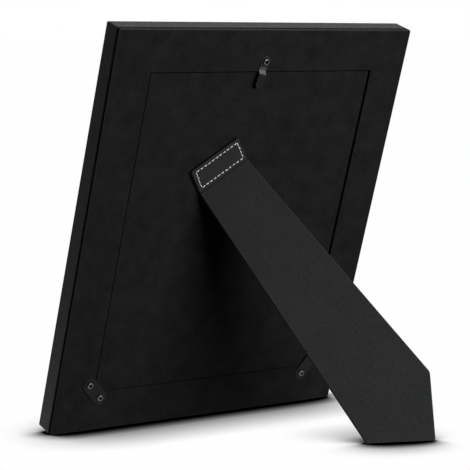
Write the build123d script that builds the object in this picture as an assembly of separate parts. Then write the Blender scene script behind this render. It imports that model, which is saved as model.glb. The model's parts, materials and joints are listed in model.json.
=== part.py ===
from build123d import *
import os
from math import atan, cos, degrees, radians, sin, tan

# Easel back photo frame for an 8 by 10 inch picture, standing upright on a table.
# All lengths are millimetres and all angles degrees.
# The pieces are drawn on the upright frame: X to the right as seen from the picture side, Y from the
# picture side to the back with 0 on the back face, Z up with 0 on the underside. The finished
# assembly is then leaned back and set on the table, with the origin under the middle of its box.

# Picture and the rebate that holds it
picture_w = 203.2
picture_h = 254.0
rebate_play = 0.9           # room round the picture, on each side
sight_lip = 5.0             # how far the lip covers the picture's edge
border = 32.4               # from the rebate's wall to the outer side of the frame

# Build-up from the picture side to the back
lip_t = 8.3
glass_t = 2.0
print_t = 0.3
filler_t = 2.9
panel_t = 3.5
panel_recess = 1.0          # back face of the frame to the panel
ring_t = 3.7                # the backing board round the panel

# Wrapped moulding
wrap_t = 0.7
wrap_turn_in = 9.0          # how far the wrap turns in under the backing board
front_edge_r = 0.9
sight_edge_r = 1.4
back_edge_r = 1.0
outer_corner_r = 1.8        # the frame's four corners, seen from the front
ring_edge_r = 1.4
ring_groove = 0.6           # bevel that leaves a groove between moulding and backing board
panel_bevel = 0.25
panel_side_play = 1.35      # room between the panel and the rebate's side walls
panel_drop = 0.4            # the loose panel sits below the middle of its room

# V nails that close the mitres
nail_leg = 4.5
nail_t = 0.5
nail_depth = 7.0
nail_margin = 2.0           # from the turned-in wrap to the first nail
nail_pitch = 12.0

# Easel leg and its hinge
open_angle = 42.5           # between the panel and the opened leg
hinge_tilt = 34.5           # slope of the hinge line across the panel
hinge_x = 20.5
hinge_height = 205.2
leg_top_w = 45.6
leg_flare = 3.65            # how much each side edge spreads
foot_inset = 5.8            # folded, the foot's point to the side of the frame
leg_corner_r = 1.2
leg_side_r = 6.0            # where the leg's long edge meets the foot's upright edge
lining_t = 0.6
leg_board_t = 2.0
cover_t = 0.5
cover_edge_r = 0.45
turn_in_t = 0.45            # the cover's turned-in margin, under the board
lining_inset = 2.5          # the lining's edge, inwards from the edge of the leg
flap_length = 22.0          # from the hinge to the flap's upper edge
hinge_clearance = 0.15
stop_clearance = 0.15       # on each side of the plane where leg and flap meet

# Pan head screws
screw_head_r = 2.6
screw_head_h = 1.7
screw_head_bevel = 0.8
screw_shank_r = 1.3
screw_tip_h = 2.0
screw_tip_r = 0.25
screw_length = 9.0
screw_cross_l = 3.0
screw_cross_w = 0.7
screw_cross_depth = 0.9
pilot_clearance = 0.05

# Corner plates under the panel's lower corners, each set by hand and so not quite alike
plate_w = 11.5
plate_t = 0.9
plate_hole_pitch = 16.0
right_plate_in = 0.4        # centre of the plate, inwards from the rebate's corner
right_plate_up = 1.7
right_plate_angle = 47.0
left_plate_in = 0.0
left_plate_up = 1.65
left_plate_angle = 123.8

# Turn button
button_t = 0.8
button_eye_r = 4.2
button_neck_w = 6.5
button_leaf_w = 6.4
button_reach = 20.6         # pivot to tip
button_ramp_start = 7.7     # the leaf steps out between these distances from the pivot
button_ramp_end = 9.8
button_rise = 1.9
button_bend_r = 0.6
button_aside = 2.1          # pivot from the frame's middle, towards +X
button_up = 7.8             # pivot above the rebate's upper wall
button_turn = 11.0          # from straight down, towards +X
button_seat = 0.1           # room under the eye and under the screw's head
button_bore_clearance = 0.08

# Derived sizes
rebate_w = picture_w + 2 * rebate_play
rebate_h = picture_h + 2 * rebate_play
frame_w = rebate_w + 2 * border
frame_h = rebate_h + 2 * border
frame_depth = lip_t + glass_t + print_t + filler_t + panel_t + panel_recess
moulding_w = border + rebate_play + sight_lip
moulding_depth = frame_depth - ring_t
mid_height = frame_h / 2
nail_from_corner = wrap_turn_in + nail_margin
lip_y = lip_t - frame_depth
glass_y = lip_y + glass_t
print_y = glass_y + print_t
filler_y = print_y + filler_t
panel_y = filler_y + panel_t

# With the foot cut parallel to the frame's edges, it meets the table at exactly this lean
lean = degrees(atan(cos(radians(hinge_tilt)) * tan(radians(open_angle / 2))))
hinge_bead_r = lining_t / 2
hinge_y = panel_y + hinge_bead_r + hinge_clearance
cover_under = lining_t - hinge_bead_r - turn_in_t           # the turned-in cover on the leg, from the hinge
# The rounded lower edge at the back stands this much higher than a sharp one
edge_lift = ring_edge_r * (cos(radians(lean)) + sin(radians(lean)) - 1)

corner_plates = {
    "corner_plate_right": (rebate_w / 2 - right_plate_in, border + right_plate_up, right_plate_angle),
    "corner_plate_left": (left_plate_in - rebate_w / 2, border + left_plate_up, left_plate_angle),
}
button_pivot = (button_aside, border + rebate_h + button_up)


def slab(width, height, y_front, y_back):
    """Upright board centred in the frame."""
    return Pos(0, (y_front + y_back) / 2, mid_height) * Box(width, y_back - y_front, height)


# Mitred moulding

def outline(points):
    return make_face(Polyline(*points, close=True))


def rounded(sketch, spots):
    """Round the corners of a section that lie at the given places."""
    for spot, radius in spots:
        corner = sketch.vertices().sort_by_distance((*spot, 0))[0]
        sketch = fillet(corner, radius)
    return sketch


def moulding_section():
    """Section of the wrapped moulding: across from the outer side, then back from the picture side."""
    section = outline([
        (0, 0),
        (moulding_w, 0),
        (moulding_w, lip_t),
        (border, lip_t),
        (border, moulding_depth),
        (0, moulding_depth),
    ])
    return rounded(section, [
        ((0, 0), front_edge_r),
        ((moulding_w, 0), sight_edge_r),
        ((0, moulding_depth), back_edge_r),
    ])


def core_section():
    """Section of the board under the wrap, relieved at the back where the wrap turns in."""
    section = outline([
        (wrap_t, wrap_t),
        (moulding_w - wrap_t, wrap_t),
        (moulding_w - wrap_t, lip_t),
        (border, lip_t),
        (border, moulding_depth),
        (wrap_turn_in, moulding_depth),
        (wrap_turn_in, moulding_depth - wrap_t),
        (wrap_t, moulding_depth - wrap_t),
    ])
    return rounded(section, [
        ((wrap_t, wrap_t), front_edge_r - wrap_t),
        ((moulding_w - wrap_t, wrap_t), sight_edge_r - wrap_t),
    ])


def mitred(section, length, inset):
    """A length of moulding along X on the frame's underside, with mitred ends and rounded outer corners."""
    across = Plane(origin=(0, -frame_depth, 0), x_dir=(0, 0, 1), z_dir=(-1, 0, 0))
    bar = extrude(across * section, amount=length / 2, both=True)
    turn_x = length / 2 - outer_corner_r
    turn_r = outer_corner_r - inset
    inner_x = length / 2 - moulding_w
    outer_side = Line((-turn_x, inset), (turn_x, inset))
    right_turn = CenterArc((turn_x, outer_corner_r), turn_r, -90, 45)
    left_turn = CenterArc((-turn_x, outer_corner_r), turn_r, -135, 45)
    mitres = Polyline(right_turn @ 1, (inner_x, moulding_w), (-inner_x, moulding_w), left_turn @ 0)
    plan = make_face([outer_side, right_turn, mitres, left_turn])
    return bar & extrude(Plane.XZ * plan, amount=frame_depth)


frame_sides = {
    "bottom_rail": (frame_w, Location((0, 0, 0))),
    "right_stile": (frame_h, Pos(frame_w / 2, 0, mid_height) * Rot(0, -90, 0)),
    "top_rail": (frame_w, Pos(0, 0, frame_h) * Rot(0, 180, 0)),
    "left_stile": (frame_h, Pos(-frame_w / 2, 0, mid_height) * Rot(0, 90, 0)),
}


def v_nails():
    """Two V nails across each mitre, driven from the back."""
    leg = Pos((nail_leg - nail_t) / 2, -nail_depth / 2, 0) * Box(nail_leg, nail_depth, nail_t)
    nail = leg + Rot(0, -90, 0) * leg
    corners = [
        Location((-frame_w / 2, -ring_t, 0)),
        Pos(frame_w / 2, -ring_t, 0) * Rot(0, -90, 0),
        Pos(frame_w / 2, -ring_t, frame_h) * Rot(0, 180, 0),
        Pos(-frame_w / 2, -ring_t, frame_h) * Rot(0, 90, 0),
    ]
    places = [nail_from_corner, nail_from_corner + nail_pitch]
    return [corner * Pos(place, 0, place) * nail for corner in corners for place in places]


# Screws

def pan_head_screw():
    """Screw along -Y with the underside of its head at Y = 0 and a cross recess."""
    head = Pos(0, 0, screw_head_h / 2) * Cylinder(screw_head_r, screw_head_h)
    head = chamfer(head.edges().sort_by(Axis.Z)[-1], screw_head_bevel)
    straight = screw_length - screw_tip_h
    shank = Pos(0, 0, -straight / 2) * Cylinder(screw_shank_r, straight)
    tip = Pos(0, 0, -straight - screw_tip_h / 2) * Cone(screw_tip_r, screw_shank_r, screw_tip_h)
    slot = Pos(0, 0, screw_head_h) * Box(screw_cross_l, screw_cross_w, 2 * screw_cross_depth)
    screw = head + shank + tip - slot - Rot(0, 0, 90) * slot
    return Rot(-90, 0, 0) * screw


def plate_holes(name):
    """Places of one corner plate's two screws, as (x, z)."""
    x, z, angle = corner_plates[name]
    reach = plate_hole_pitch / 2
    return [
        (x + side * reach * cos(radians(angle)), z + side * reach * sin(radians(angle)))
        for side in (-1, 1)
    ]


plate_screw_spots = [spot for name in corner_plates for spot in plate_holes(name)]


def pilot_holes(spots):
    """Holes for screws that stand at the given (x, z) places."""
    drill = Rot(90, 0, 0) * Cylinder(screw_shank_r + pilot_clearance, 2 * (screw_length + plate_t))
    return [Pos(x, 0, z) * drill for x, z in spots]


all_pilot_holes = pilot_holes(plate_screw_spots + [button_pivot])


# Backing board, panel and plates

def back_ring():
    shape = RectangleRounded(frame_w, frame_h, outer_corner_r)
    ring = Pos(0, 0, mid_height) * extrude(Plane.XZ * shape, amount=ring_t)
    ring = fillet(ring.faces().sort_by(Axis.Y)[-1].edges(), ring_edge_r)
    ring = chamfer(ring.faces().sort_by(Axis.Y)[0].edges(), ring_groove)
    return ring - slab(rebate_w, rebate_h, -2 * ring_t, ring_t) - all_pilot_holes


def easel_panel():
    panel = slab(rebate_w - 2 * panel_side_play, picture_h, filler_y, panel_y)
    panel = Pos(0, 0, -panel_drop) * panel
    return chamfer(panel.faces().sort_by(Axis.Y)[-1].edges(), panel_bevel)


def corner_plate(name):
    x, z, angle = corner_plates[name]
    blank = SlotCenterToCenter(plate_hole_pitch, plate_w) - [
        Pos(side * plate_hole_pitch / 2, 0) * Circle(screw_shank_r + pilot_clearance)
        for side in (-1, 1)
    ]
    on_back = Plane(origin=(x, 0, z), x_dir=(cos(radians(angle)), 0, sin(radians(angle))), z_dir=(0, 1, 0))
    return extrude(on_back * blank, amount=plate_t)


def turn_button():
    """Stamped leaf with a stepped side view, drawn from the pivot along +Y with Z out of the frame."""
    under = [
        (-button_eye_r, 0),
        (button_ramp_start, 0),
        (button_ramp_end, button_rise),
        (button_reach, button_rise),
    ]
    over = [(along, out + button_t) for along, out in reversed(under)]
    side = outline(under + over)
    side = rounded(side, [(under[1], button_bend_r), (under[2], button_bend_r)])
    side = rounded(side, [(over[1], button_bend_r), (over[2], button_bend_r)])
    side_view = Plane(origin=(0, 0, button_seat), x_dir=(0, 1, 0), z_dir=(1, 0, 0))
    strip = extrude(side_view * side, amount=button_leaf_w, both=True)
    tip = Pos(0, button_reach - button_leaf_w / 2) * Circle(button_leaf_w / 2)
    neck = Pos(0, button_ramp_end / 2) * Rectangle(button_neck_w, button_ramp_end)
    root = Pos(0, button_ramp_end) * Circle(button_neck_w / 2)
    leaf = make_hull(tip.edges() + root.edges())
    plan = Circle(button_eye_r) + neck + leaf - Circle(screw_shank_r + button_bore_clearance)
    blank = extrude(plan, amount=button_seat + button_rise + 2 * button_t)
    x, z = button_pivot
    turn = radians(button_turn)
    hanging = Plane(origin=(x, 0, z), x_dir=(cos(turn), 0, sin(turn)), z_dir=(0, 1, 0))
    return hanging.location * (strip & blank)


# Easel leg and the flap that hinges it

hinge_place = Plane(
    origin=(hinge_x, hinge_y, hinge_height),
    x_dir=(cos(radians(hinge_tilt)), 0, -sin(radians(hinge_tilt))),
    z_dir=(0, 1, 0),
).location
leg_place = hinge_place * Rot(open_angle, 0, 0)
bevel_stock = 2 * (lining_t + leg_board_t + cover_t)     # length past the hinge, cut off where the two meet
half_top = leg_top_w / 2
spread = tan(radians(leg_flare))


def foot_corners():
    """The foot's three corners on the leg: across along the hinge, and down from it."""
    c, s = cos(radians(hinge_tilt)), sin(radians(hinge_tilt))
    # Folded, the foot's lower edge lies this far above the frame's underside
    sole = (hinge_y - cover_under) * tan(radians(lean)) + edge_lift / cos(radians(lean))
    dx = foot_inset - frame_w / 2 - hinge_x
    dz = sole - hinge_height
    x, y = dx * c - dz * s, -dx * s - dz * c
    lower = (half_top + spread * y - x) / (c + spread * s)
    upper = (half_top + spread * y + x) / (s + spread * c)
    return [
        (x + lower * c, y - lower * s),
        (x, y),
        (x - upper * s, y - upper * c),
    ]


def leg_outline(start):
    """Outline of the leg from a line across it at the given distance below the hinge."""
    half = half_top + spread * start
    corners = foot_corners()
    leg = outline([(half, start), *corners, (-half, start)])
    return rounded(leg, zip(corners, [leg_corner_r, leg_corner_r, leg_side_r]))


def flap_outline(end):
    """Outline of the flap, from its upper edge to a line across it at the given distance."""
    flap = outline([
        (-half_top, -flap_length),
        (half_top, -flap_length),
        (half_top, end),
        (-half_top, end),
    ])
    return rounded(flap, [((side * half_top, -flap_length), leg_corner_r) for side in (-1, 1)])


def covered_board(shape, under, meeting, lining_end):
    """Lining, board and turned-in cover of one outline, cut off at the planes where the piece ends."""
    board_from = under + lining_t
    wrapped = Pos(0, 0, board_from - turn_in_t) * extrude(shape, amount=turn_in_t + leg_board_t + cover_t)
    wrapped = fillet(wrapped.faces().sort_by(Axis.Z)[-1].edges(), cover_edge_r)
    board_shape = offset(shape, -cover_t, kind=Kind.INTERSECTION)
    board = Pos(0, 0, board_from) * extrude(board_shape, amount=leg_board_t)
    lining_shape = offset(shape, -lining_inset, kind=Kind.INTERSECTION)
    lining = Pos(0, 0, under) * extrude(lining_shape, amount=lining_t)
    return (
        split(lining, bisect_by=lining_end, keep=Keep.TOP),
        split(board, bisect_by=meeting, keep=Keep.TOP),
        split(wrapped - board, bisect_by=meeting, keep=Keep.TOP),
    )


def meeting_plane(side):
    """Plane where leg (side 1) and flap (side -1) stop each other, set back by the clearance."""
    half = radians(open_angle / 2)
    facing = Vector(0, side * cos(half), -sin(half))
    return Plane(origin=facing * stop_clearance, z_dir=facing)


def leg_pieces():
    """Leg along +Y from the hinge, with a bead on the hinge line that its lining turns on."""
    lining_end = Plane(origin=(0, 0, 0), z_dir=(0, 1, 0))
    lining, board, cover = covered_board(
        leg_outline(-bevel_stock), -hinge_bead_r, meeting_plane(1), lining_end)
    lining += Rot(0, 90, 0) * Cylinder(hinge_bead_r, leg_top_w)
    return {"leg_lining": lining, "leg_board": board, "leg_cover": cover - lining}


def flap_pieces():
    """Flap along -Y from the hinge, on the panel, with room for the leg's bead."""
    room = hinge_bead_r + hinge_clearance
    lining_end = Plane(origin=(0, -room, 0), z_dir=(0, -1, 0))
    lining, board, cover = covered_board(
        flap_outline(bevel_stock), panel_y - hinge_y, meeting_plane(-1), lining_end)
    bead_room = Rot(0, 90, 0) * Cylinder(room, 2 * leg_top_w)
    return {"flap_lining": lining, "flap_board": board - bead_room, "flap_cover": cover - lining - bead_room}


# The assembly on the upright frame

nails = v_nails()
screw = pan_head_screw()
nodes = {}
for side_name, (side_length, side_place) in frame_sides.items():
    core = mitred(core_section(), side_length, wrap_t)
    wrap = mitred(moulding_section(), side_length, 0) - core
    nodes[side_name] = side_place * core - nails - all_pilot_holes
    nodes[side_name + "_wrap"] = side_place * wrap
nodes["mitre_v_nails"] = Compound(nails)
nodes["back_ring"] = back_ring()
nodes["glass_pane"] = slab(picture_w, picture_h, lip_y, glass_y)
nodes["picture_insert"] = slab(picture_w, picture_h, glass_y, print_y)
nodes["filler_card"] = slab(picture_w, picture_h, print_y, filler_y)
nodes["easel_panel"] = easel_panel()
for plate_name in corner_plates:
    nodes[plate_name] = corner_plate(plate_name)
nodes["corner_plate_screws"] = Compound([Pos(x, plate_t, z) * screw for x, z in plate_screw_spots])
nodes["turn_button"] = turn_button()
nodes["turn_button_screw"] = Pos(button_pivot[0], button_t + 2 * button_seat, button_pivot[1]) * screw
for flap_name, flap_piece in flap_pieces().items():
    nodes[flap_name] = hinge_place * flap_piece
for leg_name, leg_piece in leg_pieces().items():
    nodes[leg_name] = leg_place * leg_piece

# Leaned back and set on the table
leaned_back = Rot(-lean, 0, 0)
box = Compound([leaned_back * piece for piece in nodes.values()]).bounding_box()
standing = Pos(-box.center().X, -box.center().Y, -box.min.Z) * leaned_back

os.makedirs("parts", exist_ok=True)
for name, piece in nodes.items():
    export_step(standing * piece, f"parts/{name}.step")
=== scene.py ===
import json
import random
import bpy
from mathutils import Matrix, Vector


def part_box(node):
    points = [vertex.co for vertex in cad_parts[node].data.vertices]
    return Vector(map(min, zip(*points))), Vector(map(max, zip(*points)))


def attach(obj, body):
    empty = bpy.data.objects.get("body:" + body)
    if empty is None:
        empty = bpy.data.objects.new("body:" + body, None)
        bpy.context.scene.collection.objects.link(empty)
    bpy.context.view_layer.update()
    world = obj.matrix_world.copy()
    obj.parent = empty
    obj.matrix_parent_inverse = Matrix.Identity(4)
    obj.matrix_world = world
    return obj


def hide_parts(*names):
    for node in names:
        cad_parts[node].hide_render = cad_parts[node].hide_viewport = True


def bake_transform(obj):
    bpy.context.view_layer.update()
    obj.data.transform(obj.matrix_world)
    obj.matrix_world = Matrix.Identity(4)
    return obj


bl_info = {
    "name": "Easel back photo frame",
    "version": (1, 0, 0),
    "blender": (4, 5, 0),
    "location": "3D View > Sidebar > Photo frame",
    "description": "Dresses the packed photo frame: covering, stitching, fittings, finishes and stage",
    "category": "Object",
}

from collections import namedtuple
from functools import partial
from math import acos, atan2, cos, hypot, pi, radians, sin, tan, tau

import bmesh
import bpy
import numpy as np
from bpy.props import FloatProperty, FloatVectorProperty, IntProperty, PointerProperty
from mathutils import Quaternion, Vector
from mathutils.geometry import convex_hull_2d

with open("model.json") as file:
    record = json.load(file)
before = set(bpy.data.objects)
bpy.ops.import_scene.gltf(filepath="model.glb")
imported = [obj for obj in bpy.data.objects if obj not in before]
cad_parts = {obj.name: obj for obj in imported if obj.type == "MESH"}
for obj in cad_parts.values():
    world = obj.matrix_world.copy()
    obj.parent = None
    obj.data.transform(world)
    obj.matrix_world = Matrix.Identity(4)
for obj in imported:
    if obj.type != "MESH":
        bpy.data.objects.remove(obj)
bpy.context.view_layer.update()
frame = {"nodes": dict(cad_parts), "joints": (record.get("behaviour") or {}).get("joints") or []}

# Lengths in this file are metres, with sizes from the workbench written as millimetres times MM.
MM = 0.001

nodes = frame["nodes"]
joints = {joint["name"]: joint for joint in frame["joints"]}


def linear(code):
    """Linear colour of an sRGB hex value."""
    values = [int(code[start:start + 2], 16) / 255 for start in (1, 3, 5)]
    return tuple(v / 12.92 if v <= 0.04045 else ((v + 0.055) / 1.055) ** 2.4 for v in values)


# Directions of the easel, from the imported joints: across along the hinge line, out of the back,
# and down the flap. The leg has its own, turned about the hinge by the easel's opening.

def broad_normal(node):
    """Normal of a board's largest face, on the side away from the panel."""
    normal = max(nodes[node].data.polygons, key=lambda face: face.area).normal.copy()
    return normal if normal.dot(out) > 0 else -normal


hinge_at = Vector(joints["leg_hinge"]["pos_m"])
across = -Vector(joints["leg_hinge"]["axis"]).normalized()
out = Vector(joints["turn_button_pivot"]["axis"]).normalized()
down = out.cross(across)
leg_out = broad_normal("leg_board")
leg_down = leg_out.cross(across)
fold_out = (out + leg_out).normalized()
fold_through = (down + leg_down).normalized()
half_opening = leg_out.angle(out) / 2
button_at = Vector(joints["turn_button_pivot"]["pos_m"])
sideways = Vector((1, 0, 0))
upright = sideways.cross(out)
middle = sum((Vector(corner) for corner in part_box("back_ring")), Vector()) / 2


def paint_colour(name, description, code):
    return FloatVectorProperty(
        name=name, description=description, subtype="COLOR", min=0, max=1, default=linear(code))


def length(name, description, millimetres):
    return FloatProperty(
        name=name, description=description, unit="LENGTH", precision=5, min=0, default=millimetres * MM)


def turn_angle(name, description, degrees):
    return FloatProperty(name=name, description=description, unit="ROTATION", default=radians(degrees))


def lamp_power(name, description, watts):
    return FloatProperty(name=name, description=description, unit="POWER", min=0, default=watts)


class FinishColours(bpy.types.PropertyGroup):
    """Colours of the finishes."""

    wrap: paint_colour("Moulding wrap", "Leatherette on the moulding", "#252525")
    backing: paint_colour("Backing paper", "Paper on the back ring and the panel", "#232323")
    leg: paint_colour("Leg covering", "Leatherette on the easel leg and its flap", "#2f3030")
    thread: paint_colour("Thread", "Stitching on the flap", "#f6f6f0")
    fittings: paint_colour("Fittings", "Black paint on turn button and corner plates", "#1d1d1d")
    screws: paint_colour("Screws", "Dark plating of the screws", "#6c6a68")
    bare_steel: paint_colour("Bare steel", "Steel where the black has worn through", "#b4b2ad")
    insert: paint_colour("Insert", "Plain card behind the glass", "#e4e2dc")
    filler: paint_colour("Filler card", "Card behind the insert", "#262422")
    board: paint_colour("Moulding board", "Stained fibreboard under the wrap", "#4a3d30")
    greyboard: paint_colour("Greyboard", "Board in the leg and the flap", "#9c9a95")
    lining: paint_colour("Lining", "Woven cloth under the leg", "#202022")


class LegSizes(bpy.types.PropertyGroup):
    """Covering of the easel leg and its stitching."""

    edge_radius: length("Edge radius", "Rounding of the covering's edges", 0.55)
    fold_depth: length("Fold depth", "Depth of the covering's fold at the hinge", 1.3)
    stitch_side: length("Stitch line across", "Half the width of the stitched box", 20.05)
    stitch_low: length("Stitch line low", "Hinge to the lower row of stitches", 4.7)
    stitch_high: length("Stitch line high", "Hinge to the upper row of stitches", 19.6)
    thread_width: length("Thread width", "Diameter of the twisted thread", 0.85)
    stitches_long: IntProperty(name="Long rows", description="Stitches in each long row", default=11, min=1)
    stitches_short: IntProperty(name="Short rows", description="Stitches in each short row", default=4, min=1)


class FittingSizes(bpy.types.PropertyGroup):
    """Turn button, corner plates and screws."""

    button_eye: length("Button eye", "Diameter of the turn button round its screw", 8.4)
    button_neck: length("Button neck", "Width of the turn button's neck", 6.5)
    button_leaf: length("Button leaf", "Width of the turn button's leaf", 6.4)
    button_reach: length("Button reach", "Pivot to the tip of the leaf", 20.6)
    button_step_start: length("Step start", "Pivot to the start of the leaf's step", 7.7)
    button_step_end: length("Step end", "Pivot to the end of the leaf's step", 9.8)
    button_rise: length("Step height", "How far the leaf steps out", 1.9)
    sheet: length("Button sheet", "Thickness of the turn button's sheet", 0.8)
    edge_radius: length("Stamped edge", "Rounding of the stamped edges", 0.25)
    plate_width: length("Plate width", "Width of a corner plate", 11.5)
    head_radius: length("Screw head radius", "Radius of a screw's pan head", 2.6)
    head_height: length("Screw head height", "Height of a screw's pan head", 1.7)
    shank_radius: length("Screw shank radius", "Radius of a screw's shank", 1.3)
    cross_depth: length("Cross depth", "Depth of a screw's cross recess", 0.9)


class StageSettings(bpy.types.PropertyGroup):
    """Camera, lamps and floor."""

    azimuth: turn_angle("Azimuth", "Camera's angle round the frame", 143.6408)
    elevation: turn_angle("Elevation", "Camera's angle above the table", 6.1148)
    roll: turn_angle("Roll", "Camera's tilt to the side", 0.2641)
    aim: FloatVectorProperty(
        name="Aim", description="Point that the camera looks at", subtype="XYZ", unit="LENGTH",
        default=(0.01507, -0.011248, 0.151154))
    distance: FloatProperty(
        name="Distance", description="Camera to the aim", unit="LENGTH", default=1.436106)
    lens: FloatProperty(
        name="Lens", description="Focal length on a 36 mm sensor", unit="CAMERA", default=146.2821)
    key_power: lamp_power("Key power", "Low soft box on the back", 19.0)
    top_power: lamp_power("Top power", "Soft box above", 3.0)
    front_power: lamp_power("Front power", "Soft box on the picture side", 3.0)
    floor: paint_colour("Floor", "Pale floor", "#f4f4f4")


# Materials

def add_node(tree, kind, values=None, **settings):
    """Add a shader node. The settings are its properties, and the values go on its sockets.

    A node or a socket among the values is linked, a node by its first output in use. Sockets that share a
    name go by number. Mix: share 0, numbers 2 and 3, colours 6 and 7. Map Range: value 0, from 1..2 to 3..4.
    """
    made = tree.nodes.new("ShaderNode" + kind)
    for name, setting in settings.items():
        setattr(made, name, setting)
    for name, value in (values or {}).items():
        if isinstance(value, bpy.types.Node):
            value = next(output for output in value.outputs if output.enabled)
        if isinstance(value, bpy.types.NodeSocket):
            tree.links.new(value, made.inputs[name])
        else:
            made.inputs[name].default_value = value
    return made


def sized(place, millimetres):
    """Place and scale of a pattern whose features repeat at this distance."""
    return {"Vector": place, "Scale": 1 / (millimetres * MM)}


def rgba(colour, brightness=1.0):
    return (*(min(value * brightness, 1) for value in colour), 1)


def new_material(name):
    """An empty material, the function that adds its nodes, and the frame's own coordinates."""
    material = bpy.data.materials.new(name)
    material.use_nodes = True
    material.node_tree.nodes.clear()
    add = partial(add_node, material.node_tree)
    return material, add, add("TexCoord").outputs["Object"]


def finish_material(material, add, shader):
    add("OutputMaterial", {"Surface": shader})
    return material


def embossed(material, add, colours, rough, relief, strength, depth, sockets):
    """Finish a material with a shader over a relief, whose depth is in millimetres."""
    bump = add("Bump", {"Height": relief, "Strength": strength, "Distance": depth * MM})
    shader = add("BsdfPrincipled", {"Base Color": colours, "Roughness": rough, "Normal": bump, **sockets})
    return finish_material(material, add, shader)


def wear_highlight_and_shade_colours(add, ground, wear, marks, rubbed_or_highlight_to, painted_shade_to, shade_starts, shade_full):
    """Colours of a finish: lighter where its wear is above 0, as wear and as a painted highlight, and darker
    as painted shade as the wear falls from the first level down to the second.

    The second result is the mask of the lighter places, worn or highlighted.
    """
    rubbed = add("Math", {0: wear, 1: marks}, operation="MULTIPLY", use_clamp=True)
    colours = add("Mix", {0: rubbed, 6: ground, 7: rubbed_or_highlight_to}, data_type="RGBA")
    # Painted shade: darkens sides, undersides and recesses where the wear is below zero
    painted_shade = add("MapRange", {0: wear, 1: shade_starts, 2: shade_full})
    return add("Mix", {0: painted_shade, 6: colours, 7: painted_shade_to}, data_type="RGBA"), rubbed


def leatherette(name, colour, grain, roughness, shine, wear):
    """Paper-backed vinyl, embossed with a fine leather grain.

    To the eye it is a dull black with small soft pebbles, whose tops are a little smoother and lighter.
    """
    material, add, place = new_material(name)
    pebbles = add("TexVoronoi", {**sized(place, grain), "Randomness": 0.9}, feature="DISTANCE_TO_EDGE")
    tops = add("MapRange", {0: pebbles, 1: 0.02, 2: 0.3}, interpolation_type="SMOOTHSTEP")
    # Fine pores between the pebbles, a third of their size
    pores = add("TexNoise", {**sized(place, grain / 3), "Detail": 3.0, "Roughness": 0.6})
    relief = add("Mix", {0: 0.35, 2: tops, 3: pores})
    # Uneven inking of the sheet, in clouds of about 20 mm
    clouds = add("TexNoise", {**sized(place, 20), "Detail": 4.0})
    tone = add("Mix", {0: 0.45, 2: relief, 3: clouds})
    ground = add("Mix", {0: tone, 6: rgba(colour, 0.6), 7: rgba(colour, 1.4)}, data_type="RGBA")
    # Lighter along the edges as wear and painted highlight, darker down the sides and undersides as painted
    # shade
    colours, _ = wear_highlight_and_shade_colours(
        add, ground, wear(add), pores, rgba(colour, 2.6), rgba(colour, 0.15), shade_starts=0.1, shade_full=-0.5)
    rough = add("MapRange", {0: relief, 3: min(roughness + 0.12, 1), 4: roughness - 0.06})
    return embossed(
        material, add, colours, rough, relief, strength=0.5, depth=0.04 * grain,
        sockets={"IOR": 1.5, "Specular IOR Level": shine})


def painted_edges(add):
    """Wear stored on a mesh: above 0 where it is rubbed or carries a painted highlight, below 0 where it
    carries painted shade.
    """
    return add("Attribute", attribute_name="edge_wear").outputs["Fac"]


def found_edges(width):
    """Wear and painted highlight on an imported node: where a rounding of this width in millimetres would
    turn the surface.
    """
    def mask(add):
        soft = add("Bevel", {"Radius": width * MM}, samples=6)
        true = add("NewGeometry").outputs["Normal"]
        match = add("VectorMath", {0: soft, 1: true}, operation="DOT_PRODUCT")
        return add("MapRange", {0: match, 1: 0.99, 2: 0.8, 4: 0.6})
    return mask


def backing_paper(name, colour, edge):
    """Black kraft paper glued on fibreboard, uncoated.

    To the eye it is a flat dark grey with faint fibres and a slight cloudiness, and nearly no shine.
    """
    material, add, place = new_material(name)
    # Fibres are about 0.1 mm wide, drawn at 0.9 mm so that they show
    stretched = add("Mapping", {"Vector": place, "Scale": (1.0, 0.6, 0.45)})
    fibres = add("TexNoise", {**sized(stretched, 0.9), "Detail": 5.0, "Roughness": 0.7, "Distortion": 0.6})
    # Clouds of the paper pulp, about 14 mm
    clouds = add("TexNoise", {**sized(place, 14), "Detail": 6.0, "Roughness": 0.65})
    tone = add("Mix", {0: 0.6, 2: fibres, 3: clouds})
    depth = add("MapRange", {0: tone, 1: 0.3, 2: 0.7})
    ground = add("Mix", {0: depth, 6: rgba(colour, 0.55), 7: rgba(colour, 1.45)}, data_type="RGBA")
    # Painted highlight where the paper turns over an outer edge, up to the edge factor times its colour
    normal = add("NewGeometry").outputs["Normal"]
    from_middle = add("VectorMath", {0: place, 1: tuple(middle)}, operation="SUBTRACT")
    facing_back, facing_away = (
        add("VectorMath", {0: normal, 1: way}, operation="DOT_PRODUCT")
        for way in (tuple(out), from_middle))
    turned = add("MapRange", {0: facing_back, 1: 0.98, 2: 0.5})
    turned = add("MapRange", {0: facing_away, 2: 0.02, 4: turned})
    colours = add("Mix", {0: turned, 6: ground, 7: rgba(colour, edge)}, data_type="RGBA")
    # The cut sides take one even colour, a tenth above the paper's own, without the painted highlight
    cut = add("MapRange", {0: facing_back, 1: 0.4, 2: 0.1})
    colours = add("Mix", {0: cut, 6: colours, 7: rgba(colour, 1.1)}, data_type="RGBA")
    rough = add("MapRange", {0: fibres, 1: 0.2, 2: 0.8, 3: 0.96, 4: 0.84})
    return embossed(
        material, add, colours, rough, fibres, strength=0.4, depth=0.05,
        sockets={"IOR": 1.5, "Specular IOR Level": 0.04})


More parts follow.
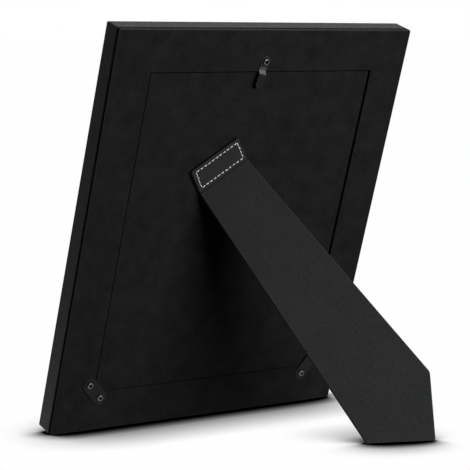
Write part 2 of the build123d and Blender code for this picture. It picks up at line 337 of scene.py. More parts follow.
def blackened_steel(name, colour, bare, roughness, plated):
    """Stamped steel with black paint, or turned steel with a dark plating.

    To the eye the paint is a dull black, rubbed to soft grey steel where fingers and edges wear it.
    The plating is a dark metal with small bright reflections, and painted shade makes its recess black.
    """
    material, add, place = new_material(name)
    # Rolling and tumbling marks, about 0.6 mm, and a faint bloom over 3.5 mm
    marks = add("TexNoise", {**sized(place, 0.6), "Detail": 4.0, "Roughness": 0.65})
    blooms = add("TexNoise", {**sized(place, 3.5), "Detail": 3.0})
    ground = add("Mix", {0: blooms, 6: rgba(colour, 0.7), 7: rgba(colour, 1.3)}, data_type="RGBA")
    # Painted shade darkens the paint's sides and undersides and the screws' recesses towards black
    colours, rubbed = wear_highlight_and_shade_colours(
        add, ground, painted_edges(add), marks, rgba(bare), rgba(colour, 0.05), shade_starts=0.0, shade_full=-0.6)
    rough = add("MapRange", {0: marks, 1: 0.3, 2: 0.7, 3: roughness - 0.08, 4: roughness + 0.1})
    coat = {"Metallic": 1.0} if plated else {"Metallic": rubbed, "Specular IOR Level": 0.12}
    return embossed(material, add, colours, rough, marks, strength=0.25, depth=0.02, sockets=coat)


def polyester_thread(name, colour):
    """Spun polyester sewing thread, twisted from three plies.

    To the eye it is an off-white, slightly fuzzy line with a soft sheen.
    """
    material, add, place = new_material(name)
    # Single fibres are far below a pixel, drawn at 0.25 mm
    fibres = add("TexNoise", {**sized(place, 0.25), "Detail": 3.0, "Roughness": 0.6})
    colours = add("Mix", {0: fibres, 6: rgba(colour, 0.78), 7: rgba(colour, 1.15)}, data_type="RGBA")
    rough = add("MapRange", {0: fibres, 1: 0.2, 2: 0.8, 3: 0.75, 4: 0.55})
    return embossed(
        material, add, colours, rough, fibres, strength=0.5, depth=0.03,
        sockets={"IOR": 1.57, "Sheen Weight": 0.25, "Sheen Roughness": 0.4})


def float_glass(name):
    """Two millimetre float glass.

    To the eye it is clear, with plain reflections and faintly greasy patches from handling.
    """
    material, add, place = new_material(name)
    smears = add("TexNoise", {**sized(place, 35), "Detail": 3.0})
    rough = add("MapRange", {0: smears, 1: 0.45, 2: 0.75, 3: 0.01, 4: 0.05})
    pane = add("BsdfPrincipled", {
        "Base Color": rgba(linear("#fafdfc")), "Roughness": rough, "IOR": 1.52, "Transmission Weight": 1.0})
    # Lamps shine through the pane onto the card behind it
    clear = add("BsdfTransparent", {"Color": rgba(linear("#f6f9f8"))})
    shadow_ray = add("LightPath").outputs["Is Shadow Ray"]
    shader = add("MixShader", {0: shadow_ray, 1: pane, 2: clear})
    return finish_material(material, add, shader)


def card_stock(name, colour, fibre, contrast, roughness):
    """Uncoated board pressed from pulp or wood fibre.

    To the eye it is a matt, even sheet with specks and short fibres of its own colour.
    """
    material, add, place = new_material(name)
    fibres = add("TexNoise", {**sized(place, fibre), "Detail": 6.0, "Roughness": 0.75, "Distortion": 0.8})
    specks = add("TexVoronoi", sized(place, fibre * 3))
    tone = add("Mix", {0: 0.3, 2: fibres, 3: specks})
    colours = add(
        "Mix", {0: tone, 6: rgba(colour, 1 - contrast), 7: rgba(colour, 1 + contrast)}, data_type="RGBA")
    rough = add("MapRange", {0: fibres, 1: 0.2, 2: 0.8, 3: roughness + 0.05, 4: roughness - 0.08})
    return embossed(
        material, add, colours, rough, fibres, strength=0.3, depth=0.04,
        sockets={"IOR": 1.5, "Specular IOR Level": 0.25})


def bright_wire(name, colour):
    """Drawn steel strip of the V nails.

    To the eye it is a plain bright metal with fine lines along the strip.
    """
    material, add, place = new_material(name)
    # Drawing lines, about 0.5 mm apart
    lines = add("TexWave", {**sized(place, 0.5), "Distortion": 3.0, "Detail": 3.0}).outputs["Fac"]
    rough = add("MapRange", {0: lines, 3: 0.22, 4: 0.38})
    colours = add("Mix", {0: lines, 6: rgba(colour, 0.85), 7: rgba(colour, 1.1)}, data_type="RGBA")
    shader = add("BsdfPrincipled", {"Base Color": colours, "Metallic": 1.0, "Roughness": rough})
    return finish_material(material, add, shader)


def woven_lining(name, colour):
    """Plain woven black cotton, glued under the leg.

    To the eye it is a matt cloth with a square weave and a soft sheen at the rim.
    """
    material, add, place = new_material(name)
    # Threads lie about 0.5 mm apart, drawn at 0.9 mm so that they show
    spacing = 0.9
    over = []
    for way in (across, leg_down):
        along = add("VectorMath", {0: place, 1: tuple(way)}, operation="DOT_PRODUCT")
        angle = add("Math", {0: along, 1: tau / (2 * spacing * MM)}, operation="MULTIPLY")
        over.append(add("Math", {0: angle}, operation="SINE"))
    crossing = add("Math", {0: over[0], 1: over[1]}, operation="MULTIPLY")
    threads = add("MapRange", {0: crossing, 1: -1.0})
    colours = add("Mix", {0: threads, 6: rgba(colour, 0.6), 7: rgba(colour, 1.4)}, data_type="RGBA")
    rough = add("MapRange", {0: threads, 3: 0.95, 4: 0.8})
    return embossed(
        material, add, colours, rough, threads, strength=0.5, depth=0.1,
        sockets={"IOR": 1.5, "Specular IOR Level": 0.2, "Sheen Weight": 0.15, "Sheen Roughness": 0.5})


def dress(material, *names):
    """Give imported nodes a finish."""
    for name in names:
        for slot in nodes[name].material_slots:
            slot.material = material


# Meshes

def vertices_of(node):
    found = np.empty(len(nodes[node].data.vertices) * 3)
    nodes[node].data.vertices.foreach_get("co", found)
    return found.reshape(-1, 3)


def measured(node, origin, *axes):
    """A node's vertices along some axes from an origin."""
    return (vertices_of(node) - np.array(origin)) @ np.array(axes).T


def convex_outline(points):
    """Corners of the convex hull of flat points, in order."""
    spots = sorted(set(map(tuple, np.round(points, 7))))
    return [spots[corner] for corner in convex_hull_2d(spots)]


def edges_of(outline):
    return np.array(list(zip(outline, outline[1:] + outline[:1])))


def width_of(edges, along):
    """Left and right ends of an outline on the line across it at this distance."""
    found = []
    along = min(max(along, edges[:, :, 1].min()), edges[:, :, 1].max())
    for (x0, a0), (x1, a1) in edges:
        if min(a0, a1) <= along <= max(a0, a1):
            found += [x0, x1] if a0 == a1 else [x0 + (along - a0) / (a1 - a0) * (x1 - x0)]
    return min(found), max(found)


def border_distance(edges, points):
    """Distance from flat points to the nearest edge of an outline."""
    starts, spans = edges[:, 0], edges[:, 1] - edges[:, 0]
    offsets = points[:, None, :] - starts[None]
    share = np.clip((offsets * spans).sum(-1) / (spans * spans).sum(-1), 0, 1)
    return np.linalg.norm(offsets - share[..., None] * spans, axis=-1).min(axis=1)


def rounding(distance, radius):
    """How far a rounded edge lies below the face at this distance from the border."""
    inside = np.clip(radius - distance, 0, radius)
    return radius - np.sqrt(radius ** 2 - inside ** 2)


def placed(name, data):
    """A new object in the scene."""
    made = bpy.data.objects.new(name, data)
    bpy.context.scene.collection.objects.link(made)
    return made


def finished_object(name, points, faces, sharp_degrees, wear=None):
    """Object with consistent normals, smooth faces and sharp edges over an angle."""
    mesh = bpy.data.meshes.new(name)
    mesh.from_pydata([tuple(p) for p in points], [], faces)
    work = bmesh.new()
    work.from_mesh(mesh)
    bmesh.ops.recalc_face_normals(work, faces=work.faces)
    work.to_mesh(mesh)
    work.free()
    mesh.shade_smooth()
    mesh.set_sharp_from_angle(angle=radians(sharp_degrees))
    if wear is not None:
        mesh.attributes.new("edge_wear", "FLOAT", "POINT").data.foreach_set("value", wear.astype(np.float32))
    return placed(name, mesh)


# One line across a bent plate: where it lies on the outline, its foot and normal, and the heights of the
# plate's top and underside along that normal.
Station = namedtuple("Station", "along foot normal top under")

# Distances from a border, in millimetres, at which a rounded edge needs points
EDGE_STEPS = (0.0, 0.04, 0.12, 0.25, 0.45, 0.8, 1.4)


def columns(left, right, count, radius):
    """Places across a plate, close together along both borders."""
    reach = min(radius * 2.5, (right - left) * 0.45)
    near = np.array(EDGE_STEPS) / EDGE_STEPS[-1] * reach
    middle = np.linspace(left + reach, right - reach, count)[1:-1]
    return np.concatenate([left + near, middle, right - near[::-1]])


def tube_faces(rings, spokes, begin=0):
    """Faces round rings of points that start at this index, with a cap on both ends."""
    last = begin + (rings - 1) * spokes
    faces = []
    for start in range(begin, last, spokes):
        for spoke in range(spokes):
            a, b = start + spoke, start + (spoke + 1) % spokes
            faces.append((a, b, b + spokes, a + spokes))
    return faces + [tuple(range(begin, begin + spokes)), tuple(range(last, last + spokes))]


def bent_plate(name, stations, side, edges, radius, count, sharp_degrees, rim, relief=None, rubbed=None):
    """Closed plate over an outline, rounded along its upper border, with its wear, painted highlight and
    painted shade stored on it.
    """
    rows, wear = [], []
    for station in stations:
        left, right = width_of(edges, station.along)
        xs = columns(left, right, count, radius)
        flat = np.stack([xs, np.full_like(xs, station.along)], axis=1)
        border = border_distance(edges, flat)
        heights = station.top - rounding(border, radius)
        if relief:
            heights = heights + relief(flat)
        xs = np.append(xs, [right, left])
        heights = np.append(heights, [station.under, station.under])
        rows.append(
            np.array(station.foot) + xs[:, None] * np.array(side)
            + heights[:, None] * np.array(station.normal))
        # Lighter along the upper border: wear, and a painted highlight
        worn = rim * np.clip(1 - border / (2 * radius), 0, 1)
        if rubbed:
            worn = worn + rubbed(flat)
        # Painted shade: darkest on the underside, and darkening down the sides to it
        wear.append(np.append(worn, [-1, -1]))
    faces = tube_faces(len(rows), len(rows[0]))
    return finished_object(name, np.concatenate(rows), faces, sharp_degrees, np.concatenate(wear))


def spread(start, end, step, *also):
    """Places from start to end, about a step apart, with some more that must be met."""
    least = 0.02 * MM
    places = list(np.linspace(start, end, max(2, round((end - start) / step) + 1)))
    places += [place for place in also if start < place < end]
    ordered = []
    for place in sorted(places):
        if not ordered or place - ordered[-1] > least:
            ordered.append(place)
    return ordered


# A round end stops a little short of its middle, so that an outline keeps some width there
ROUND_END = pi / 2 - 0.06


def arc(radius, middle_along, start, end, count):
    """Points on an outline's round end, as (across, along)."""
    turns = np.linspace(start, end, count)
    return [(radius * cos(t), middle_along + radius * sin(t)) for t in turns]


def mirrored_edges(right):
    """Edges of an outline from its right half."""
    return edges_of(right + [(-x, along) for x, along in reversed(right)])


def stitch_holes(sizes):
    """Needle holes round the stitched box, as (across, along) on the flap, from its upper left corner."""
    side, high, low = sizes.stitch_side, -sizes.stitch_high, -sizes.stitch_low
    # The hand-led seam turns too early at one corner
    early = 0.5 * MM
    corners = [(-side, high), (side - early, high), (side, low), (-side, low)]
    counts = [sizes.stitches_long, sizes.stitches_short] * 2
    holes = []
    for start, end, count in zip(corners, corners[1:] + corners[:1], counts):
        for step in range(count):
            share = step / count
            holes.append((start[0] + share * (end[0] - start[0]), start[1] + share * (end[1] - start[1])))
    return holes


def draw_leg_covering(sizes):
    """Leatherette round flap and leg, in one piece with a fold along the hinge line."""
    flap = measured("flap_cover", hinge_at, across, down, out)
    leg = measured("leg_cover", hinge_at, across, leg_down, leg_out)
    flap_top, flap_under = flap[:, 2].max(), flap[:, 2].min()
    leg_top, leg_under = leg[:, 2].max(), leg[:, 2].min()
    near_fold = 3 * MM
    # Along the fold itself the outline is open, so that only the outer borders are rounded
    outlines = convex_outline(flap[:, :2]), convex_outline(leg[:, :2])
    halves = []
    for outline, way in zip(outlines, (-1, 1)):
        half = edges_of(outline)
        half = half[(way * half[:, :, 1] > near_fold).any(axis=1)]
        half[:, :, 1][way * half[:, :, 1] < near_fold] = 0
        halves.append(half)
    edges = np.concatenate(halves)

    # The fold is a slit between two walls, each this far from its middle, with rounded lips
    wall = 0.06 * MM
    lip = 0.2 * MM
    flap_lip = -flap_top * tan(half_opening) - wall
    leg_lip = leg_top * tan(half_opening) + wall
    lip_steps = np.array([1.6, 0.9, 0.5, 0.3, 0.15, 0.05, 0.0]) * MM
    end_steps = np.array(EDGE_STEPS) * MM
    flap_step, leg_step, foot_step = 0.45 * MM, 1.6 * MM, 0.8 * MM
    stations = []

    start = flap[:, 1].min()
    also = [a for x, a in outlines[0]] + list(start + end_steps) + list(flap_lip - lip_steps)
    for along in spread(start, flap_lip, flap_step, *also):
        top = flap_top - rounding(flap_lip - along, lip)
        stations.append(Station(along, hinge_at + down * along, out, top, flap_under))
    under = (flap_under + leg_under) / 2
    rim = (min(flap_top, leg_top) - lip) / cos(half_opening)
    floor = rim - sizes.fold_depth
    halfway = (rim + floor) / 2
    slit = ((-wall, halfway), (-wall, floor), (0, floor - wall), (wall, floor), (wall, halfway))
    for through, top in slit:
        stations.append(Station(0.0, hinge_at + fold_through * through, fold_out, top, under))
    # The foot's point has no width, so the last line across lies just before it
    point = leg[:, 1].max()
    end = point - 0.01 * MM
    foot_start = point - 55 * MM
    also = [a for x, a in outlines[1] if a > near_fold] + list(end - end_steps)
    also += list(leg_lip + lip_steps) + list(np.arange(foot_start, point, foot_step))
    for along in spread(leg_lip, end, leg_step, *also):
        top = leg_top - rounding(along - leg_lip, lip)
        stations.append(Station(along, hinge_at + leg_down * along, leg_out, top, leg_under))

    holes = np.array(stitch_holes(sizes))
    runs = edges_of([tuple(hole) for hole in holes])

    def relief(flat):
        """Slack of the glued sheet, the channel that the stitches pull into it, and the needle holes."""
        x, along = flat[:, 0] / MM, flat[:, 1] / MM
        slack = 0.03 * np.sin(x / 7.0 + along / 19.0) * np.sin(along / 23.0 + 0.7)
        gaps = np.linalg.norm(flat[:, None] - holes[None], axis=-1).min(axis=1)
        channel_width, hole_width, depth = 0.75 * MM, 0.5 * MM, 0.22
        pull = depth * np.exp(-(border_distance(runs, flat) / channel_width) ** 2)
        prick = depth * np.exp(-(gaps / hole_width) ** 2)
        return (slack - (pull + prick) * (along < 0)) * MM

    return bent_plate(
        "leg_covering", stations, across, edges, sizes.edge_radius, count=90, sharp_degrees=50, rim=0.3,
        relief=relief)


def draw_stitching(sizes, surface):
    """Twisted thread in short arches from needle hole to needle hole."""
    holes = stitch_holes(sizes)
    hand = random.Random(11)
    rings, spokes, plies, turns = 15, 12, 3, 1.6
    radius = sizes.thread_width / 2
    # How far a stitch starts from its hole, in millimetres, how deep it dives there, and the plies' relief
    start_gap, sunk, ply_relief = 0.42, 0.45 * MM, 0.11
    points, faces = [], []
    for start, end in zip(holes, holes[1:] + holes[:1]):
        first, last = Vector(start), Vector(end)
        way = (last - first).normalized()
        first = first + way * (start_gap + hand.uniform(-0.06, 0.1)) * MM
        last = last - way * (start_gap + hand.uniform(-0.06, 0.1)) * MM
        aside = Vector((-way.y, way.x)) * hand.uniform(-0.09, 0.09) * MM
        phase = hand.uniform(0, tau)
        rise = (0.27 + hand.uniform(-0.03, 0.05)) * MM
        faces += tube_faces(rings, spokes, len(points))
        for ring in range(rings):
            share = ring / (rings - 1)
            bow = sin(pi * share)
            spot = first.lerp(last, share) + aside * bow
            height = surface - sunk + (rise + sunk) * bow ** 0.45
            thickness = radius * (0.55 + 0.45 * bow ** 0.4)
            centre = hinge_at + across * spot.x + down * spot.y + out * height
            level = across * -way.y + down * way.x
            for spoke in range(spokes):
                angle = tau * spoke / spokes
                twisted = plies * (angle - tau * turns * share / plies) + phase
                lobe = 1 + ply_relief * cos(twisted)
                points.append(centre + (level * cos(angle) + out * sin(angle)) * thickness * lobe)
    return finished_object("flap_stitching", points, faces, sharp_degrees=60)


def draw_turn_button(sizes):
    """Stamped leaf with an eye, a step and a round tip, that hangs from its screw."""
    flat = measured("turn_button", button_at, sideways, upright)
    far = np.linalg.norm(flat, axis=1)
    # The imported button's farthest points give the way it hangs
    tip = flat[far > 0.985 * far.max()].mean(axis=0)
    hang = (sideways * tip[0] + upright * tip[1]).normalized()
    low = measured("turn_button", button_at, out).min()

    eye, neck, leaf = sizes.button_eye / 2, sizes.button_neck / 2, sizes.button_leaf / 2
    right = arc(eye, 0, -ROUND_END, 0, 14) + arc(eye, 0, 0, acos(neck / eye), 8)[1:]
    right += [(neck, sizes.button_step_start), (neck, sizes.button_step_end)]
    right += arc(leaf, sizes.button_reach - leaf, 0, ROUND_END, 16)

    # Side view of the underside: straight, up the step with two bends, straight to the tip
    bend = 0.9 * MM
    run = sizes.button_step_end - sizes.button_step_start
    slope = atan2(sizes.button_rise, run)

    def side_view(along):
        """Height of the underside and its slope at a distance from the pivot."""
        ends = ((sizes.button_step_start, 0, slope), (sizes.button_step_end, slope, 0))
        for place, before, after in ends:
            if abs(along - place) < bend:
                share = (along - place + bend) / (2 * bend)
                angle = before + (after - before) * share
                steps = np.linspace(before, angle, 9)
                base = 0 if place == ends[0][0] else (run - bend) * tan(slope)
                return base + np.tan(steps).mean() * (along - place + bend), angle
        if along < ends[0][0]:
            return 0.0, 0.0
        if along < ends[1][0]:
            return (along - ends[0][0]) * tan(slope), slope
        return sizes.button_rise, 0.0

    stations = []
    for along in spread(right[0][1], right[-1][1], 0.4 * MM, *[along for x, along in right]):
        height, angle = side_view(along)
        foot = button_at + hang * along + out * (low + height)
        normal = out * cos(angle) - hang * sin(angle)
        stations.append(Station(along, foot, normal, sizes.sheet, 0.0))

    def rubbed(flat):
        """Paint worn by fingers: partly on the neck, through to the steel on the step."""
        along = flat[:, 1]
        neck_end, step_end = sizes.button_step_start - 0.3 * MM, sizes.button_step_end - 0.2 * MM
        return np.select([along < 1.02 * eye, along < neck_end, along < step_end], [0.05, 0.3, 0.8], 0.0)

    return bent_plate(
        "turn_button_leaf", stations, hang.cross(out), mirrored_edges(right), sizes.edge_radius, count=12,
        sharp_degrees=40, rim=0.15, rubbed=rubbed)


def screw_places(node):
    """Where the screws of a node stand: the middle of each one, and its lowest and highest point."""
    screw_reach = 7 * MM
    groups = []
    for spot in measured(node, button_at, sideways, upright, out):
        near = [group for group in groups if np.linalg.norm(group[0][:2] - spot[:2]) < screw_reach]
        if near:
            near[0].append(spot)
        else:
            groups.append([spot])
    places = []
    for group in groups:
        low, high = np.min(group, axis=0), np.max(group, axis=0)
        places.append((*((low + high) / 2)[:2], low[2], high[2]))
    return sorted(places)


def draw_screws(name, node, sizes, seed):
    """Pan head screws with a cross recess, each turned as it was left."""
    hand = random.Random(seed)
    spokes = 72
    head, tall, shank = sizes.head_radius, sizes.head_height, sizes.shank_radius
    # The head: a slightly crowned flat, then a quarter round down to its rim
    flat, crown, rim = 0.62 * head, 0.1 * tall, 0.42 * tall
    shoulder = tall - crown
    dome = [(r, tall - crown * (r / flat) ** 2) for r in np.linspace(0.04 * head, flat, 18)]
    dome += [
        (flat + (head - flat) * sin(t), rim + (shoulder - rim) * cos(t))
        for t in np.linspace(0, pi / 2, 10)[1:]
    ]
    # The cross: reach and half width of its arms, and how wide their walls slope
    arm_reach, arm_half = 0.62 * head, 0.24 * head
    end_slope, side_slope = 0.12 * head, 0.08 * head
    points, faces, wear = [], [], []
    for x, y, low, high in screw_places(node):
        turn = hand.uniform(0, pi / 2)
        ca, sa = cos(turn), sin(turn)
        foot = high - tall - low
        profile = dome + [(head, 0.0), (shank, 0.0), (shank, 0.2 * foot - foot), (0.2 * shank, -foot)]
        base = button_at + sideways * x + upright * y + out * (high - tall)
        faces += tube_faces(len(profile), spokes, len(points))
        for ring, (radius, height) in enumerate(profile):
            for spoke in range(spokes):
                angle = tau * spoke / spokes
                u, v = radius * cos(angle), radius * sin(angle)
                dip = 0.0
                if ring < len(dome):
                    for a, b in ((u, v), (v, u)):
                        arm = np.clip((arm_reach - abs(a)) / end_slope, 0, 1)
                        slit = np.clip((arm_half - abs(b)) / side_slope, 0, 1)
                        dip = max(dip, arm * slit)
                # The cross recess carries painted shade, black at its deepest
                wear.append(-dip)
                points.append(
                    base + sideways * (u * ca - v * sa) + upright * (u * sa + v * ca)
                    + out * (height - dip * sizes.cross_depth))
    return finished_object(name, points, faces, sharp_degrees=35, wear=np.array(wear))


def draw_corner_plate(name, node, sizes, screws):
    """Pressed steel plate with round ends, held by two of the screws."""
    flat = measured(node, button_at, sideways, upright, out)
    low, high = flat.min(axis=0), flat.max(axis=0)
    here = (low + high) / 2
    pair = sorted(screws, key=lambda spot: hypot(spot[0] - here[0], spot[1] - here[1]))[:2]
    ends = [sideways * spot[0] + upright * spot[1] for spot in pair]
    way = (ends[1] - ends[0]).normalized()
    centre = button_at + (ends[0] + ends[1]) / 2 + out * low[2]
    right = arc(sizes.plate_width / 2, (ends[1] - ends[0]).length / 2, 0, ROUND_END, 20)
    right = [(x, -along) for x, along in reversed(right)] + right
    stations = [
        Station(along, centre + way * along, out, high[2] - low[2], 0.0)
        for along in spread(right[0][1], right[-1][1], 0.8 * MM, *[along for x, along in right])
    ]
    return bent_plate(
        name, stations, way.cross(out), mirrored_edges(right), sizes.edge_radius, count=16,
        sharp_degrees=40, rim=0.05)


def draw_glass_pane():
    """Cut pane with ground edges and dubbed corners, a hair smaller than its place so that it lies loose."""
    flat = measured("glass_pane", middle, sideways, upright, out)
    low, high = flat.min(axis=0), flat.max(axis=0)
    slack, ground, dubbed = 0.03 * MM, 0.4 * MM, 1.2 * MM
    rings = (
        (slack + ground, low[2] + slack), (slack, low[2] + slack + ground),
        (slack, high[2] - slack - ground), (slack + ground, high[2] - slack),
    )
    points = []
    for inset, height in rings:
        (x0, y0), (x1, y1) = low[:2] + inset, high[:2] - inset
        corners = (
            (x0 + dubbed, y0), (x1 - dubbed, y0), (x1, y0 + dubbed), (x1, y1 - dubbed),
            (x1 - dubbed, y1), (x0 + dubbed, y1), (x0, y1 - dubbed), (x0, y0 + dubbed))
        points += [middle + sideways * x + upright * y + out * height for x, y in corners]
    faces = tube_faces(len(rings), len(points) // len(rings))
    return finished_object("cut_glass_pane", points, faces, sharp_degrees=20)


def settle(piece, body, slot, material, *replaced):
    """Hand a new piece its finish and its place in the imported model."""
    piece.data.materials.append(material)
    if replaced:
        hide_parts(*replaced)
    if body:
        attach(piece, body)


# Operators

class PHOTOFRAME_OT_moulding(bpy.types.Operator):
    """Finish the moulding's wrap, its boards and the V nails"""

    bl_idname = "photoframe.moulding"
    bl_label = "Moulding"

    def execute(self, context):
        colours = context.scene.photoframe_colours
        sides = ("bottom_rail", "right_stile", "top_rail", "left_stile")
        wrap = leatherette(
            "black_leatherette_wrap", colours.wrap, grain=3.0, roughness=0.5, shine=0.5,
            wear=found_edges(0.5))
        dress(wrap, *(side + "_wrap" for side in sides))
        dress(card_stock("fibreboard", colours.board, fibre=0.9, contrast=0.25, roughness=0.85), *sides)
        dress(bright_wire("bright_steel_strip", colours.bare_steel), "mitre_v_nails")
        return {"FINISHED"}


class PHOTOFRAME_OT_backing(bpy.types.Operator):
    """Finish the back ring, the easel panel and the filler card"""

    bl_idname = "photoframe.backing"
    bl_label = "Backing boards"

    def execute(self, context):
        colours = context.scene.photoframe_colours
        dress(backing_paper("black_paper_ring", colours.backing, edge=4.5), "back_ring")
        dress(backing_paper("black_paper_panel", colours.backing, edge=1.2), "easel_panel")
        card = card_stock("filler_card", colours.filler, fibre=1.2, contrast=0.12, roughness=0.85)
        dress(card, "filler_card")
        return {"FINISHED"}


class PHOTOFRAME_OT_picture(bpy.types.Operator):
    """Cut the glass and finish the plain card behind it"""

    bl_idname = "photoframe.picture"
    bl_label = "Glass and insert"

    def execute(self, context):
        colours = context.scene.photoframe_colours
        settle(draw_glass_pane(), "frame", "picture_glass", float_glass("float_glass"), "glass_pane")
        card = card_stock("uncoated_card", colours.insert, fibre=0.8, contrast=0.05, roughness=0.8)
        dress(card, "picture_insert")
        return {"FINISHED"}


class PHOTOFRAME_OT_leg(bpy.types.Operator):
    """Cover the easel leg and its flap, and finish the board and lining under the covering"""

    bl_idname = "photoframe.leg"
    bl_label = "Easel leg"

    def execute(self, context):
        colours = context.scene.photoframe_colours
        covering = draw_leg_covering(context.scene.photoframe_leg)
        finish = leatherette(
            "matt_leatherette_leg", colours.leg, grain=1.5, roughness=0.78, shine=0.2, wear=painted_edges)
        settle(covering, None, "leg_leatherette", finish, "flap_cover", "leg_cover")
        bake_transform(covering)
        board = card_stock("greyboard", colours.greyboard, fibre=0.7, contrast=0.15, roughness=0.9)
        dress(board, "flap_board", "leg_board")
        dress(woven_lining("black_cotton_lining", colours.lining), "flap_lining", "leg_lining")
        return {"FINISHED"}


class PHOTOFRAME_OT_stitching(bpy.types.Operator):
    """Sew the flap's box of stitches"""

    bl_idname = "photoframe.stitching"
    bl_label = "Stitching"

    def execute(self, context):
        colours = context.scene.photoframe_colours
        surface = measured("flap_cover", hinge_at, out).max()
        stitches = draw_stitching(context.scene.photoframe_leg, surface)
        settle(stitches, "frame", "leg_leatherette", polyester_thread("polyester_thread", colours.thread))
        return {"FINISHED"}


class PHOTOFRAME_OT_corner_plates(bpy.types.Operator):
    """Press the two corner plates"""

    bl_idname = "photoframe.corner_plates"
    bl_label = "Corner plates"

    def execute(self, context):
        colours = context.scene.photoframe_colours
        finish = blackened_steel(
            "black_painted_plate", colours.fittings, colours.bare_steel, roughness=0.6, plated=False)
        sizes = context.scene.photoframe_fittings
        screws = screw_places("corner_plate_screws")
        for side in ("right", "left"):
            node = "corner_plate_" + side
            plate = draw_corner_plate("pressed_plate_" + side, node, sizes, screws)
            settle(plate, "frame", "blackened_steel", finish, node)
        return {"FINISHED"}


class PHOTOFRAME_OT_turn_button(bpy.types.Operator):
    """Stamp the turn button"""

    bl_idname = "photoframe.turn_button"
    bl_label = "Turn button"

    def execute(self, context):
        colours = context.scene.photoframe_colours
        finish = blackened_steel(
            "black_painted_leaf", colours.fittings, colours.bare_steel, roughness=0.42, plated=False)
        leaf = draw_turn_button(context.scene.photoframe_fittings)
        settle(leaf, "turn_button", "blackened_steel", finish, "turn_button")
        return {"FINISHED"}


class PHOTOFRAME_OT_screws(bpy.types.Operator):
    """Turn the screws of the corner plates and the turn button"""

    bl_idname = "photoframe.screws"
    bl_label = "Screws"

    def execute(self, context):
        colours = context.scene.photoframe_colours
        sizes = context.scene.photoframe_fittings
        finish = blackened_steel(
            "black_plated_screw", colours.screws, colours.bare_steel, roughness=0.28, plated=True)
        for seed, (name, node) in enumerate(
                (("plate_screws", "corner_plate_screws"), ("button_screw", "turn_button_screw"))):
            screws = draw_screws(name, node, sizes, seed)
            settle(screws, "frame", "black_screws", finish, node)
        return {"FINISHED"}


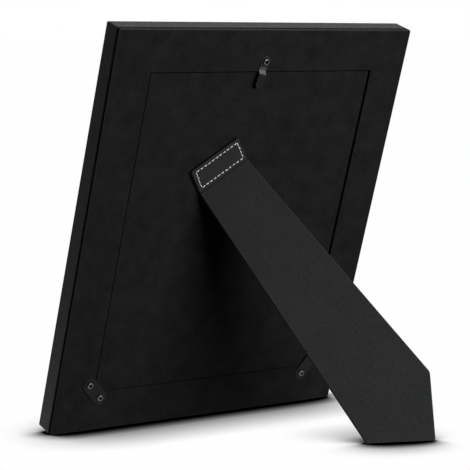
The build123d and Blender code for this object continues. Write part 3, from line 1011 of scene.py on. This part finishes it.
class PHOTOFRAME_OT_stage(bpy.types.Operator):
    """Set the floor, the lamps, the surroundings and the camera"""

    bl_idname = "photoframe.stage"
    bl_label = "Stage"

    def execute(self, context):
        stage = context.scene.photoframe_stage
        self.lay_floor(stage)
        self.hang_lamps(stage)
        self.paint_surroundings(context)
        self.set_camera(context, stage)
        context.scene.view_settings.view_transform = "Standard"
        return {"FINISHED"}

    def lay_floor(self, stage):
        """White floor with a painted shadow near the frame, taken from ambient occlusion, that fades into the
        white further out.
        """
        reach = 40.0
        mesh = bpy.data.meshes.new("floor")
        mesh.from_pydata(
            [(-reach, -reach, 0), (reach, -reach, 0), (reach, reach, 0), (-reach, reach, 0)], [],
            [(0, 1, 2, 3)])
        floor = placed("floor", mesh)
        material, add, place = new_material("pale_floor")
        path = add("LightPath").outputs
        seen = path["Is Camera Ray"]
        for ray in ("Is Glossy Ray", "Is Transmission Ray"):
            seen = add("Math", {0: seen, 1: path[ray]}, operation="MAXIMUM")
        # A painted shadow from ambient occlusion, not from the lamps: a soft fade round the frame, and a dark
        # line where frame and foot touch the floor. The frame leans over the floor and the leg away from it,
        # so the fade starts from other levels past the foot's line.
        beyond = Vector((leg_out.x, leg_out.y, 0)).normalized()
        leg = vertices_of("leg_cover")
        foot_line = (leg[leg[:, 2] < 1 * MM] @ np.array(beyond)).max()
        towards = add("VectorMath", {0: place, 1: tuple(beyond)}, operation="DOT_PRODUCT")
        # How far each fade looks for shade, its black level at the frame and at the foot, and its white level
        fades = []
        for distance, at_frame, at_foot, clear in ((0.08, 0.38, 0.70, 0.94), (0.025, 0.5, 0.76, 0.97)):
            open_sky = add("AmbientOcclusion", {"Distance": distance}, samples=48).outputs["AO"]
            darkest = add("MapRange", {
                0: towards, 1: foot_line - 5 * MM, 2: foot_line - 1 * MM, 3: at_frame, 4: at_foot})
            fades.append(add("MapRange", {0: open_sky, 1: darkest, 2: clear}))
        shade = add("Math", {0: fades[0], 1: fades[1]}, operation="MULTIPLY")
        # A black finish mirrors the floor less than the camera sees it, and least far from the frame
        away = add("VectorMath", {0: place}, operation="LENGTH")
        mirrored = add("MapRange", {0: away, 1: 0.15, 2: 0.6, 3: 0.75, 4: 0.3})
        floor_glow = add("MapRange", {0: path["Is Glossy Ray"], 3: shade, 4: mirrored})
        white = add("Emission", {"Color": rgba(stage.floor, 1.1), "Strength": floor_glow})
        plain = add("BsdfDiffuse", {"Color": rgba(stage.floor, 0.03)})
        shader = add("MixShader", {0: seen, 1: plain, 2: white})
        mesh.materials.append(finish_material(material, add, shader))

    def hang_lamps(self, stage):
        """A soft box on the back, from its right, a weak one above and one on the picture side."""
        lamps = (
            ("key_box", stage.key_power, (-0.40, 1.43, 0.44), (0.0, -0.03, 0.14), 1.20, 0.60),
            ("top_box", stage.top_power, (0.10, 0.25, 1.60), (0.0, 0.0, 0.1), 0.80, 0.80),
            ("front_box", stage.front_power, (-0.45, -1.35, 0.35), (0.0, 0.0, 0.15), 0.70, 0.70),
        )
        for name, power, place, aim, wide, tall in lamps:
            lamp = bpy.data.lights.new(name, "AREA")
            lamp.shape = "RECTANGLE"
            lamp.size, lamp.size_y = wide, tall
            lamp.energy = power
            hung = placed(name, lamp)
            hung.location = place
            hung.rotation_mode = "QUATERNION"
            hung.rotation_quaternion = (Vector(aim) - Vector(place)).to_track_quat("-Z", "Y")
            hung.visible_camera = False

    def paint_surroundings(self, context):
        """White background for the camera, and a studio with one bright side, in front of the frame."""
        world = bpy.data.worlds.new("studio")
        world.use_nodes = True
        world.node_tree.nodes.clear()
        add = partial(add_node, world.node_tree)
        way = add("TexCoord").outputs["Generated"]
        bright_way = Vector((-0.5, -0.8, 0.35)).normalized()
        towards = add("VectorMath", {0: way, 1: tuple(bright_way)}, operation="DOT_PRODUCT")
        levels = {0: towards, 1: 0.45, 2: 0.95, 3: 0.008, 4: 0.8}
        level = add("MapRange", levels, interpolation_type="SMOOTHSTEP")
        studio = add("Background", {"Color": (1, 1, 1, 1), "Strength": level})
        white = add("Background", {"Color": (1, 1, 1, 1), "Strength": 1.0})
        path = add("LightPath").outputs
        seen = add("Math", {0: path["Is Camera Ray"], 1: path["Is Transmission Ray"]}, operation="MAXIMUM")
        mixed = add("MixShader", {0: seen, 1: studio, 2: white})
        add("OutputWorld", {"Surface": mixed})
        context.scene.world = world

    def set_camera(self, context, stage):
        camera = bpy.data.cameras.new("camera")
        camera.lens = stage.lens
        camera.sensor_width = 36
        camera.clip_start, camera.clip_end = 0.05, 100
        held = placed("camera", camera)
        a, e = stage.azimuth, stage.elevation
        back = Vector((sin(a) * cos(e), -cos(a) * cos(e), sin(e)))
        held.location = Vector(stage.aim) + back * stage.distance
        held.rotation_mode = "QUATERNION"
        held.rotation_quaternion = (-back).to_track_quat("-Z", "Y") @ Quaternion((0, 0, 1), stage.roll)
        context.scene.camera = held


STEPS = (
    PHOTOFRAME_OT_stage,
    PHOTOFRAME_OT_moulding,
    PHOTOFRAME_OT_backing,
    PHOTOFRAME_OT_picture,
    PHOTOFRAME_OT_leg,
    PHOTOFRAME_OT_stitching,
    PHOTOFRAME_OT_corner_plates,
    PHOTOFRAME_OT_turn_button,
    PHOTOFRAME_OT_screws,
)


class PHOTOFRAME_PT_panel(bpy.types.Panel):
    """Steps that dress the photo frame"""

    bl_idname = "PHOTOFRAME_PT_panel"
    bl_label = "Photo frame"
    bl_space_type = "VIEW_3D"
    bl_region_type = "UI"
    bl_category = "Photo frame"

    def draw(self, context):
        for step in STEPS:
            self.layout.operator(step.bl_idname)


GROUPS = {
    "photoframe_colours": FinishColours,
    "photoframe_leg": LegSizes,
    "photoframe_fittings": FittingSizes,
    "photoframe_stage": StageSettings,
}


def register():
    for kind in (*GROUPS.values(), *STEPS, PHOTOFRAME_PT_panel):
        bpy.utils.register_class(kind)
    for name, group in GROUPS.items():
        setattr(bpy.types.Scene, name, PointerProperty(type=group))


def unregister():
    for name in GROUPS:
        delattr(bpy.types.Scene, name)
    for kind in (PHOTOFRAME_PT_panel, *reversed(STEPS), *reversed(list(GROUPS.values()))):
        bpy.utils.unregister_class(kind)


def main():
    register()
    bpy.ops.photoframe.stage()
    bpy.ops.photoframe.moulding()
    bpy.ops.photoframe.backing()
    bpy.ops.photoframe.picture()
    bpy.ops.photoframe.leg()
    bpy.ops.photoframe.stitching()
    bpy.ops.photoframe.corner_plates()
    bpy.ops.photoframe.turn_button()
    bpy.ops.photoframe.screws()


if __name__ == "__main__":
    main()
